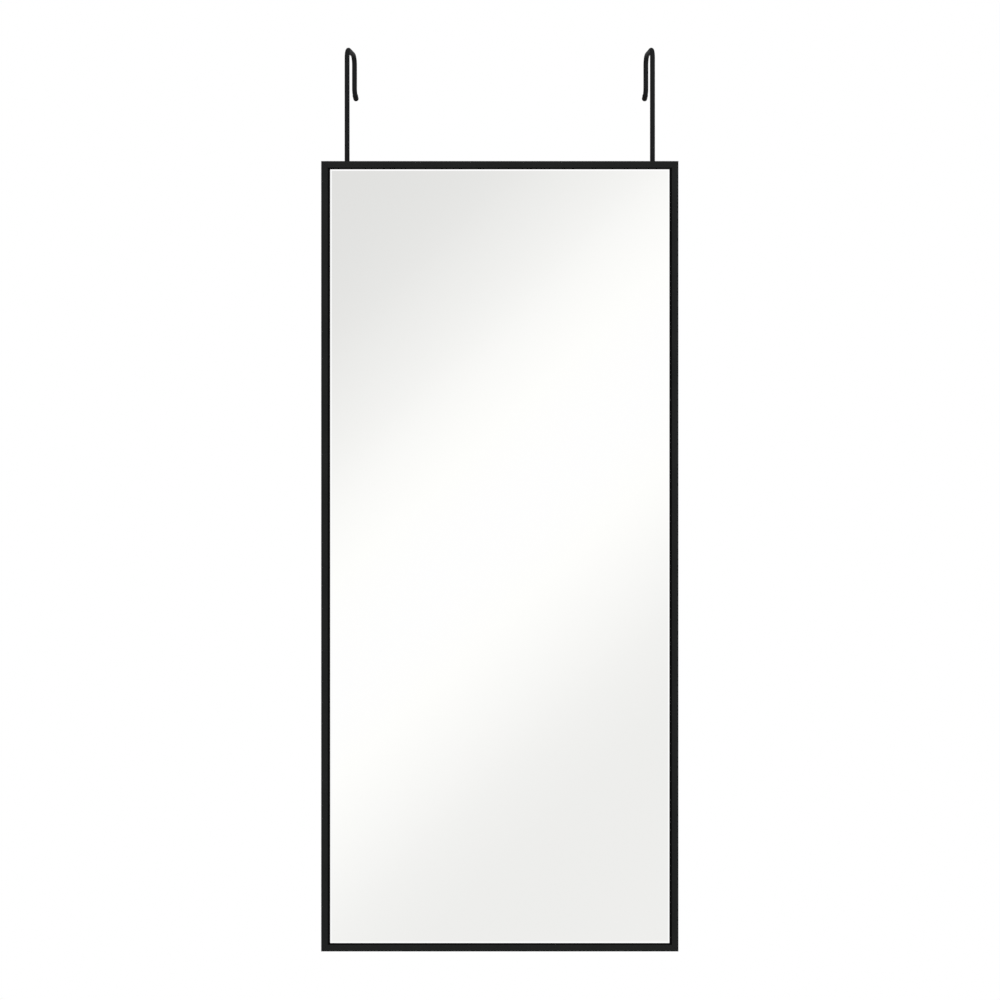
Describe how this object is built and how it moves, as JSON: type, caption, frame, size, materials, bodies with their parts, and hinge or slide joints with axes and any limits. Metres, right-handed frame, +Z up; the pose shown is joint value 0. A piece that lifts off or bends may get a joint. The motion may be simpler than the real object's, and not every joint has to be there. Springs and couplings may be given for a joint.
{
  "type": "over-the-door mirror",
  "caption": "Tall mirror in a slim mitred black frame, hung over a door's top edge on two bent rod hooks that turn in the top rail.",
  "frame": {"origin": "middle of the door's top edge, in the plane of the door's front face: the undersides of the hooks' bars are at z = 0 and the bumpers' rear faces at y = 0", "axes": "+X to the right of someone facing the glass, +Y into the door (the glass faces -Y), +Z up"},
  "size_m": [0.452, 0.0847, 1.1489],
  "materials": {
    "black_rail": "extruded, with a satin black powder coat",
    "black_rod": "satin powder coat",
    "zinc_key": "die-cast, bare",
    "black_screw": "black zinc",
    "bright_fastener": "zinc plated",
    "mirror": "polished silvered glass",
    "film": "thin polyethylene film",
    "foam": "fine closed-cell foam",
    "hardboard": "hardboard, meshed side out",
    "gasket": "soft black extrusion",
    "rubber_block": "moulded",
    "bumper": "soft moulded pad",
    "vinyl_cap": "soft dipped vinyl",
    "nylon_bush": "moulded nylon"
  },
  "bodies": {
    "frame": {"top_rail": "black_rail", "bottom_rail": "black_rail", "left_stile": "black_rail", "right_stile": "black_rail", "top_left_corner_key": "zinc_key", "top_right_corner_key": "zinc_key", "bottom_left_corner_key": "zinc_key", "bottom_right_corner_key": "zinc_key", "top_left_corner_screws": "black_screw", "top_right_corner_screws": "black_screw", "bottom_left_corner_screws": "black_screw", "bottom_right_corner_screws": "black_screw", "top_gasket": "gasket", "bottom_gasket": "gasket", "left_gasket": "gasket", "right_gasket": "gasket", "mirror_glass": "mirror", "safety_film": "film", "foam_sheet": "foam", "backboard": "hardboard", "left_setting_block": "rubber_block", "right_setting_block": "rubber_block", "top_left_bumper": "bumper", "top_right_bumper": "bumper", "bottom_left_bumper": "bumper", "bottom_right_bumper": "bumper", "left_hook_bush": "nylon_bush", "right_hook_bush": "nylon_bush", "left_washer": "bright_fastener", "right_washer": "bright_fastener"},
    "left_hook": {"left_hook": "black_rod", "left_tip_cap": "vinyl_cap", "left_lock_nut": "bright_fastener"},
    "right_hook": {"right_hook": "black_rod", "right_tip_cap": "vinyl_cap", "right_lock_nut": "bright_fastener"}
  },
  "joints": [
    {"name": "left_hook_swivel", "type": "hinge", "parent": "frame", "child": "left_hook", "pos_m": [-0.1943, -0.0089, -0.1425], "axis": [0, 0, -1], "range_deg": [-96.7, 83.3]},
    {"name": "right_hook_swivel", "type": "hinge", "parent": "frame", "child": "right_hook", "pos_m": [0.1943, -0.0089, -0.1425], "axis": [0, 0, 1], "range_deg": [-95.6, 84.4]}
  ]
}
